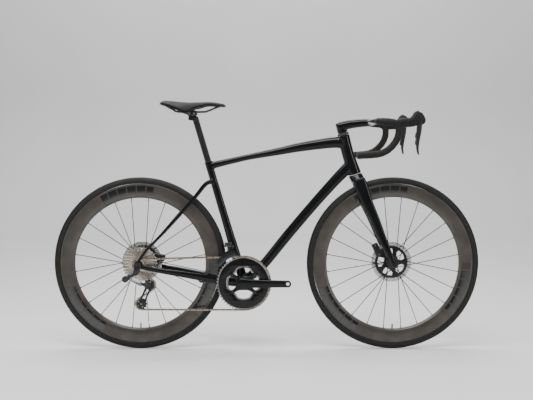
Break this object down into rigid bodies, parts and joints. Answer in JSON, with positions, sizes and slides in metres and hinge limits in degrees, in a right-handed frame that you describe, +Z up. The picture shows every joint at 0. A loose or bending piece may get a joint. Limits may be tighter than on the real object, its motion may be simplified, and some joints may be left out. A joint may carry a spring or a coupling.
{
  "type": "road bicycle",
  "caption": "Aero road bicycle with a tapered tubular frame, deep-rim spoked wheels, drop handlebar, disc brakes and electronic derailleurs, without pedals.",
  "frame": {"origin": "on the ground plane, midway between the two wheel axles and in the bicycle's middle plane", "axes": "+X forwards along the bicycle, +Y to the rider's left, +Z up; the chain side is -Y"},
  "size_m": [1.678, 0.4432, 0.981],
  "materials": {
    "gloss_black": "gloss black",
    "satin_carbon": "satin dark carbon",
    "matt_black": "matt black",
    "tyre_rubber": "black tyre rubber",
    "hood_rubber": "black rubber",
    "bar_tape": "wrapped black-brown tape",
    "saddle_cover": "smooth black cover",
    "steel": "brushed steel",
    "dark_steel": "dark bronze-tinted steel",
    "dark_alloy": "dark anodised"
  },
  "bodies": {
    "frame": {"frame": "gloss_black", "seat_clamp_wedge": "dark_alloy", "headset_bearing_lower": "steel", "headset_bearing_upper": "steel", "bottom_bracket_left": "dark_alloy", "bottom_bracket_right": "dark_alloy", "rear_thru_axle": "dark_alloy", "rear_brake_caliper": "matt_black", "chain": "dark_steel", "front_derailleur_body": "matt_black", "rear_derailleur_hanger": "dark_alloy", "rear_derailleur_motor": "matt_black"},
    "fork": {"fork": "gloss_black", "headset_cover": "matt_black", "steerer_plug": "dark_alloy", "handlebar": "gloss_black", "bar_tape_left": "bar_tape", "bar_tape_right": "bar_tape", "bar_end_plug_left": "matt_black", "bar_end_plug_right": "matt_black", "lever_hood_left": "hood_rubber", "lever_hood_right": "hood_rubber", "front_thru_axle": "dark_alloy", "front_brake_caliper": "matt_black"},
    "front_wheel": {"front_tyre": "tyre_rubber", "front_rim": "satin_carbon", "front_hub_and_spokes": "matt_black", "front_brake_rotor": "steel"},
    "rear_wheel": {"rear_tyre": "tyre_rubber", "rear_rim": "satin_carbon", "rear_hub_and_spokes": "matt_black", "rear_brake_rotor": "steel"},
    "cassette": {"cassette": "steel", "freehub_body": "dark_alloy"},
    "crankset": {"crank_right": "gloss_black", "crank_left": "gloss_black", "chainring_outer": "gloss_black", "chainring_inner": "dark_steel"},
    "seatpost": {"seatpost": "satin_carbon", "saddle_clamp": "dark_alloy"},
    "saddle": {"saddle": "saddle_cover", "saddle_rails": "dark_steel"},
    "front_derailleur_cage": {"front_derailleur_cage": "dark_alloy"},
    "rear_derailleur_link_outer": {"rear_derailleur_link_outer": "matt_black"},
    "rear_derailleur_link_inner": {"rear_derailleur_link_inner": "dark_alloy"},
    "rear_derailleur_knuckle": {"rear_derailleur_knuckle": "matt_black"},
    "rear_derailleur_cage": {"rear_derailleur_cage": "dark_alloy"},
    "guide_pulley": {"guide_pulley": "matt_black"},
    "tension_pulley": {"tension_pulley": "matt_black"},
    "brake_lever_left": {"brake_lever_left": "matt_black"},
    "shift_button_up_left": {"shift_button_up_left": "matt_black"},
    "shift_button_down_left": {"shift_button_down_left": "matt_black"},
    "front_brake_pad_left": {"front_brake_pad_left": "steel"},
    "rear_brake_pad_left": {"rear_brake_pad_left": "steel"},
    "brake_lever_right": {"brake_lever_right": "matt_black"},
    "shift_button_up_right": {"shift_button_up_right": "matt_black"},
    "shift_button_down_right": {"shift_button_down_right": "matt_black"},
    "front_brake_pad_right": {"front_brake_pad_right": "steel"},
    "rear_brake_pad_right": {"rear_brake_pad_right": "steel"}
  },
  "joints": [
    {"name": "steering", "type": "hinge", "parent": "frame", "child": "fork", "pos_m": [0.3, 0, 0.854], "axis": [-0.2857, 0, 0.9583], "range_deg": [-60, 60]},
    {"name": "front_wheel_spin", "type": "hinge", "parent": "fork", "child": "front_wheel", "pos_m": [0.499, 0, 0.34], "axis": [0, 1, 0], "continuous": true},
    {"name": "rear_wheel_spin", "type": "hinge", "parent": "frame", "child": "rear_wheel", "pos_m": [-0.499, 0, 0.34], "axis": [0, 1, 0], "continuous": true},
    {"name": "crank_spin", "type": "hinge", "parent": "frame", "child": "crankset", "pos_m": [-0.0896, 0, 0.2656], "axis": [0, 1, 0], "continuous": true},
    {"name": "cassette_spin", "type": "hinge", "parent": "frame", "child": "cassette", "pos_m": [-0.499, 0, 0.34], "axis": [0, 1, 0], "continuous": true},
    {"name": "seatpost_height", "type": "slide", "parent": "frame", "child": "seatpost", "axis": [-0.2823, 0, 0.9593], "range_m": [-0.025, 0.04]},
    {"name": "saddle_fore_aft", "type": "slide", "parent": "seatpost", "child": "saddle", "axis": [1, 0, 0], "range_m": [-0.012, 0.012]},
    {"name": "front_derailleur_swing", "type": "hinge", "parent": "frame", "child": "front_derailleur_cage", "pos_m": [-0.148, -0.04, 0.414], "axis": [1, 0, 0], "range_deg": [0, 7.5]},
    {"name": "rear_derailleur_swing", "type": "hinge", "parent": "frame", "child": "rear_derailleur_link_outer", "pos_m": [-0.523, -0.098, 0.291], "axis": [0.4609, 0.4696, 0.7531], "range_deg": [0, 60], "deforming": ["chain"]},
    {"name": "rear_derailleur_swing_inner", "type": "hinge", "parent": "frame", "child": "rear_derailleur_link_inner", "pos_m": [-0.5257, -0.08829, 0.28659], "axis": [0.4609, 0.4696, 0.7531], "range_deg": [0, 60]},
    {"name": "rear_derailleur_knuckle_turn", "type": "hinge", "parent": "rear_derailleur_link_outer", "child": "rear_derailleur_knuckle", "pos_m": [-0.48396, -0.10805, 0.27338], "axis": [0.4609, 0.4696, 0.7531], "range_deg": [-60, 0]},
    {"name": "rear_derailleur_cage_pivot", "type": "hinge", "parent": "rear_derailleur_knuckle", "child": "rear_derailleur_cage", "pos_m": [-0.461, -0.0752, 0.266], "axis": [0, 1, 0], "range_deg": [-45, 10], "stiffness_Nm_per_rad": 0.6},
    {"name": "guide_pulley_spin", "type": "hinge", "parent": "rear_derailleur_cage", "child": "guide_pulley", "pos_m": [-0.455, -0.066, 0.262], "axis": [0, 1, 0], "continuous": true},
    {"name": "tension_pulley_spin", "type": "hinge", "parent": "rear_derailleur_cage", "child": "tension_pulley", "pos_m": [-0.488, -0.066, 0.188], "axis": [0, 1, 0], "continuous": true},
    {"name": "brake_lever_left_pull", "type": "hinge", "parent": "fork", "child": "brake_lever_left", "pos_m": [0.571, 0.2, 0.868], "axis": [0, 1, 0], "range_deg": [0, 20], "stiffness_Nm_per_rad": 1.5},
    {"name": "shift_button_up_left_press", "type": "hinge", "parent": "brake_lever_left", "child": "shift_button_up_left", "pos_m": [0.558, 0.198, 0.8415], "axis": [0, 0, 1], "range_deg": [0, 5], "stiffness_Nm_per_rad": 0.3},
    {"name": "shift_button_down_left_press", "type": "hinge", "parent": "brake_lever_left", "child": "shift_button_down_left", "pos_m": [0.558, 0.198, 0.8178], "axis": [0, 0, 1], "range_deg": [0, 5], "stiffness_Nm_per_rad": 0.3},
    {"name": "front_brake_pad_left_slide", "type": "slide", "parent": "fork", "child": "front_brake_pad_left", "axis": [0, -1, 0], "range_m": [0, 0.0004]},
    {"name": "rear_brake_pad_left_slide", "type": "slide", "parent": "frame", "child": "rear_brake_pad_left", "axis": [0, -1, 0], "range_m": [0, 0.0004]},
    {"name": "brake_lever_right_pull", "type": "hinge", "parent": "fork", "child": "brake_lever_right", "pos_m": [0.571, -0.2, 0.868], "axis": [0, 1, 0], "range_deg": [0, 20], "stiffness_Nm_per_rad": 1.5},
    {"name": "shift_button_up_right_press", "type": "hinge", "parent": "brake_lever_right", "child": "shift_button_up_right", "pos_m": [0.558, -0.198, 0.8415], "axis": [0, 0, -1], "range_deg": [0, 5], "stiffness_Nm_per_rad": 0.3},
    {"name": "shift_button_down_right_press", "type": "hinge", "parent": "brake_lever_right", "child": "shift_button_down_right", "pos_m": [0.558, -0.198, 0.8178], "axis": [0, 0, -1], "range_deg": [0, 5], "stiffness_Nm_per_rad": 0.3},
    {"name": "front_brake_pad_right_slide", "type": "slide", "parent": "fork", "child": "front_brake_pad_right", "axis": [0, 1, 0], "range_m": [0, 0.0004]},
    {"name": "rear_brake_pad_right_slide", "type": "slide", "parent": "frame", "child": "rear_brake_pad_right", "axis": [0, 1, 0], "range_m": [0, 0.0004]}
  ],
  "couplings": [
    {"joint": "cassette_spin", "follows": "crank_spin", "ratio": 4.7273},
    {"joint": "guide_pulley_spin", "follows": "crank_spin", "ratio": -4.7273},
    {"joint": "tension_pulley_spin", "follows": "crank_spin", "ratio": 4.7273},
    {"joint": "rear_derailleur_swing_inner", "follows": "rear_derailleur_swing", "ratio": 1},
    {"joint": "rear_derailleur_knuckle_turn", "follows": "rear_derailleur_swing", "ratio": -1},
    {"joint": "front_brake_pad_left_slide", "follows": "brake_lever_left_pull", "m_per_rad": 0.00085944},
    {"joint": "rear_brake_pad_left_slide", "follows": "brake_lever_right_pull", "m_per_rad": 0.00085944},
    {"joint": "front_brake_pad_right_slide", "follows": "brake_lever_left_pull", "m_per_rad": 0.00085944},
    {"joint": "rear_brake_pad_right_slide", "follows": "brake_lever_right_pull", "m_per_rad": 0.00085944}
  ]
}
